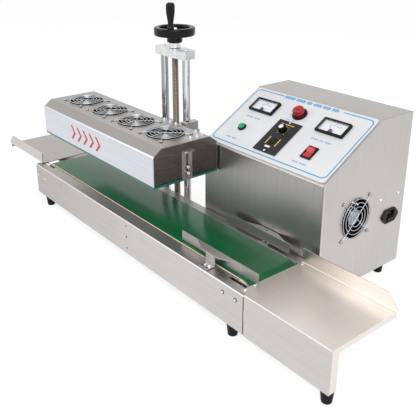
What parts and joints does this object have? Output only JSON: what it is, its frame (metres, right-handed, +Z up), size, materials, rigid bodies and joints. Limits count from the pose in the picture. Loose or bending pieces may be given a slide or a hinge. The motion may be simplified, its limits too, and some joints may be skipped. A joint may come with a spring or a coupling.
{
  "type": "induction cap sealer",
  "caption": "Table-top induction sealer: a short belt conveyor, a sealing head raised by a handwheel on a rod column, and a sloped control cabinet.",
  "frame": {"origin": "on the floor, under the middle of the machine's overall box", "axes": "+X along the belt's travel from infeed to outfeed, +Y from the operator's side to the cabinet's back, +Z up"},
  "size_m": [1.119, 0.3986, 0.5055],
  "materials": {
    "base_steel": "brushed along its length",
    "bed_steel": "satin",
    "belt_pvc": "smooth green top cover",
    "bearing_iron": "plain",
    "roller_steel": "turned",
    "tray_steel": "brushed along its length",
    "foot_rubber": "matte black",
    "guide_steel": "satin",
    "head_steel": "brushed along its length",
    "head_end_steel": "dark satin",
    "gauge_steel": "satin",
    "board_green": "glass-fibre laminate",
    "coil_copper": "varnished copper strands",
    "fan_black": "moulded, with a chromed wire guard",
    "rotor_black": "moulded",
    "column_aluminium": "milled",
    "rod_chrome": "ground and chromed",
    "screw_bronze": "oiled",
    "carriage_aluminium": "milled",
    "wheel_black": "moulded phenolic",
    "cabinet_steel": "brushed upright",
    "plate_grey": "satin light grey with a blue border",
    "meter_black": "moulded",
    "needle_red": "red",
    "lamp_red": "clear red lens on a black body",
    "button_green": "moulded",
    "unit_grey": "moulded",
    "knob_black": "moulded",
    "power_red": "translucent red",
    "inlet_black": "moulded",
    "motor_aluminium": "die-cast"
  },
  "bodies": {
    "root": {"base_front_panel": "base_steel", "base_rear_panel": "base_steel", "slider_bed": "bed_steel", "conveyor_belt": "belt_pvc", "bearing_front_left": "bearing_iron", "bearing_front_right": "bearing_iron", "bearing_rear_left": "bearing_iron", "bearing_rear_right": "bearing_iron", "outfeed_tray": "tray_steel", "infeed_tray": "tray_steel", "foot_base_left": "foot_rubber", "foot_base_right": "foot_rubber", "foot_outfeed": "foot_rubber", "foot_infeed": "foot_rubber", "foot_cabinet_left": "foot_rubber", "foot_cabinet_right": "foot_rubber", "column_foot": "column_aluminium", "column_cap": "column_aluminium", "rod_left": "rod_chrome", "rod_right": "rod_chrome", "cabinet_chassis": "cabinet_steel", "cabinet_cover": "cabinet_steel", "control_plate": "plate_grey", "current_meter": "meter_black", "voltage_meter": "meter_black", "warning_lamp": "lamp_red", "speed_unit": "unit_grey", "power_frame": "knob_black", "mains_inlet": "inlet_black", "gear_motor": "motor_aluminium", "cabinet_fan": "fan_black"},
    "drive_roller": {"drive_roller": "roller_steel"},
    "idler_roller": {"idler_roller": "roller_steel"},
    "guide_front": {"guide_front": "guide_steel"},
    "guide_rear": {"guide_rear": "guide_steel"},
    "lift_screw": {"lead_screw": "screw_bronze", "handwheel": "wheel_black"},
    "crank": {"crank_handle": "wheel_black"},
    "head": {"head_shell": "head_steel", "head_end_left": "head_end_steel", "head_end_right": "head_end_steel", "head_board": "board_green", "induction_coil": "coil_copper", "head_fan_1": "fan_black", "head_fan_2": "fan_black", "head_fan_3": "fan_black", "head_fan_4": "fan_black", "head_carriage": "carriage_aluminium"},
    "gauge": {"height_gauge": "gauge_steel"},
    "rotor_1": {"head_rotor_1": "rotor_black"},
    "rotor_2": {"head_rotor_2": "rotor_black"},
    "rotor_3": {"head_rotor_3": "rotor_black"},
    "rotor_4": {"head_rotor_4": "rotor_black"},
    "cabinet_rotor": {"cabinet_rotor": "rotor_black"},
    "current_needle": {"current_meter_needle": "needle_red"},
    "voltage_needle": {"voltage_meter_needle": "needle_red"},
    "start_button": {"start_button": "button_green"},
    "speed_knob": {"speed_knob": "knob_black"},
    "run_switch": {"run_switch": "knob_black"},
    "power_switch": {"power_switch": "power_red"}
  },
  "joints": [
    {"name": "handwheel_turn", "type": "hinge", "parent": "root", "child": "lift_screw", "pos_m": [-0.045, -0.0153, 0.3], "axis": [0, 0, 1], "range_deg": [-13810, 7810]},
    {"name": "head_lift", "type": "slide", "parent": "root", "child": "head", "axis": [0, 0, 1], "range_m": [-0.065, 0.115]},
    {"name": "crank_spin", "type": "hinge", "parent": "lift_screw", "child": "crank", "pos_m": [-0.02041, -0.04261, 0.46], "axis": [0, 0, 1], "continuous": true},
    {"name": "gauge_slide", "type": "slide", "parent": "head", "child": "gauge", "axis": [0, 0, 1], "range_m": [-0.024, 0.001]},
    {"name": "drive_roller_spin", "type": "hinge", "parent": "root", "child": "drive_roller", "pos_m": [0.3435, -0.1153, 0.074], "axis": [0, 1, 0], "continuous": true},
    {"name": "idler_roller_spin", "type": "hinge", "parent": "root", "child": "idler_roller", "pos_m": [-0.3435, -0.1153, 0.074], "axis": [0, 1, 0], "continuous": true},
    {"name": "guide_front_slide", "type": "slide", "parent": "root", "child": "guide_front", "axis": [0, 1, 0], "range_m": [-0.003, 0.003]},
    {"name": "guide_rear_slide", "type": "slide", "parent": "root", "child": "guide_rear", "axis": [0, 1, 0], "range_m": [-0.003, 0.001]},
    {"name": "rotor_1_spin", "type": "hinge", "parent": "head", "child": "rotor_1", "pos_m": [-0.253, -0.1153, 0.257], "axis": [0, 0, 1], "continuous": true},
    {"name": "rotor_2_spin", "type": "hinge", "parent": "head", "child": "rotor_2", "pos_m": [-0.15, -0.1153, 0.257], "axis": [0, 0, 1], "continuous": true},
    {"name": "rotor_3_spin", "type": "hinge", "parent": "head", "child": "rotor_3", "pos_m": [-0.047, -0.1153, 0.257], "axis": [0, 0, 1], "continuous": true},
    {"name": "rotor_4_spin", "type": "hinge", "parent": "head", "child": "rotor_4", "pos_m": [0.056, -0.1153, 0.257], "axis": [0, 0, 1], "continuous": true},
    {"name": "cabinet_rotor_spin", "type": "hinge", "parent": "root", "child": "cabinet_rotor", "pos_m": [0.377, 0.0563, 0.1615], "axis": [1, 0, 0], "continuous": true},
    {"name": "current_needle_swing", "type": "hinge", "parent": "root", "child": "current_needle", "pos_m": [0.144, 0.05669, 0.30833], "axis": [0, -0.5097, 0.8603], "range_deg": [-84, 0], "stiffness_Nm_per_rad": 0.00002, "springref_deg": 17.19},
    {"name": "voltage_needle_swing", "type": "hinge", "parent": "root", "child": "voltage_needle", "pos_m": [0.32, 0.0554, 0.30756], "axis": [0, -0.5097, 0.8603], "range_deg": [-84, 0], "stiffness_Nm_per_rad": 0.00002, "springref_deg": 17.19},
    {"name": "start_button_press", "type": "slide", "parent": "root", "child": "start_button", "axis": [0, 0.5097, -0.8603], "range_m": [0, 0.0025], "stiffness_N_per_m": 400, "springref_m": -0.001},
    {"name": "speed_knob_turn", "type": "hinge", "parent": "root", "child": "speed_knob", "pos_m": [0.2307, 0.02838, 0.29039], "axis": [0, -0.5097, 0.8603], "range_deg": [-270, 0]},
    {"name": "run_switch_tip", "type": "hinge", "parent": "root", "child": "run_switch", "pos_m": [0.2307, 0.00272, 0.27484], "axis": [1, 0, 0], "range_deg": [-20, 0]},
    {"name": "power_switch_tip", "type": "hinge", "parent": "root", "child": "power_switch", "pos_m": [0.317, 0.00667, 0.27602], "axis": [1, 0, 0], "range_deg": [-20, 0]}
  ],
  "couplings": [
    {"joint": "handwheel_turn", "follows": "head_lift", "rad_per_m": -2094.4},
    {"joint": "idler_roller_spin", "follows": "drive_roller_spin", "ratio": 1}
  ]
}
